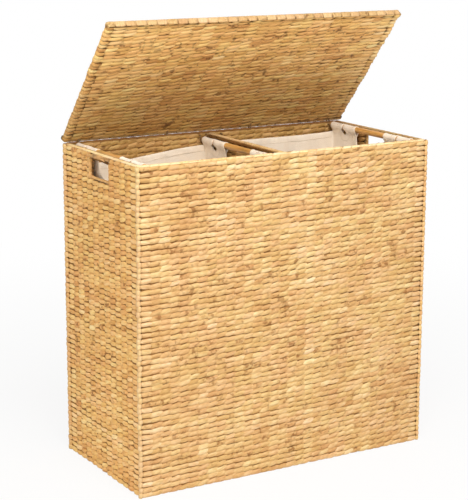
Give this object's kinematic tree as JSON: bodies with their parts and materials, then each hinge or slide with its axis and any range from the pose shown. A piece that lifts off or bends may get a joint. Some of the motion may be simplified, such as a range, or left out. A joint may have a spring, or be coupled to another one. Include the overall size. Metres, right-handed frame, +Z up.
{
  "type": "laundry hamper",
  "caption": "Woven laundry hamper with a hinged lid, a woven divider between its bins, and cloth liner bags hung by tabs from wooden rods.",
  "frame": {"origin": "middle of the underside, on the floor", "axes": "+Z up, +X to the hamper's right as seen from the front, -Y towards the front"},
  "size_m": [0.624, 0.304, 0.8345],
  "materials": {
    "woven_straw": "dry plant stems woven in level courses",
    "wrapped_straw": "the same stems wrapped smoothly over wire",
    "frame_wire": "dull painted steel wire",
    "link_wire": "dull brown painted steel wire",
    "rod_wood": "smooth bare bamboo",
    "liner_cloth": "plain cream cotton"
  },
  "bodies": {
    "body": {"body_frame": "frame_wire", "front_wall": "woven_straw", "back_wall": "woven_straw", "left_wall": "woven_straw", "right_wall": "woven_straw", "base_panel": "woven_straw", "rim_wrap": "wrapped_straw", "left_handle_wrap": "wrapped_straw", "right_handle_wrap": "wrapped_straw", "divider_panel": "woven_straw", "divider_rail_wrap": "wrapped_straw", "hinge_link_1": "link_wire", "hinge_link_2": "link_wire", "hinge_link_3": "link_wire", "hinge_link_4": "link_wire", "left_bag_wall_rod": "rod_wood", "left_bag_wall_saddle_front": "link_wire", "left_bag_wall_saddle_back": "link_wire", "left_bag_divider_rod": "rod_wood", "left_bag_divider_saddle_front": "link_wire", "left_bag_divider_saddle_back": "link_wire", "right_bag_wall_rod": "rod_wood", "right_bag_wall_saddle_front": "link_wire", "right_bag_wall_saddle_back": "link_wire", "right_bag_divider_rod": "rod_wood", "right_bag_divider_saddle_front": "link_wire", "right_bag_divider_saddle_back": "link_wire", "left_liner_bag": "liner_cloth", "right_liner_bag": "liner_cloth"},
    "lid": {"lid_frame": "frame_wire", "lid_panel": "woven_straw", "lid_edge_wrap": "wrapped_straw"}
  },
  "joints": [
    {"name": "lid_hinge", "type": "hinge", "parent": "body", "child": "lid", "pos_m": [0, 0.145, 0.608], "axis": [-1, 0, 0], "range_deg": [-49, 131]}
  ]
}
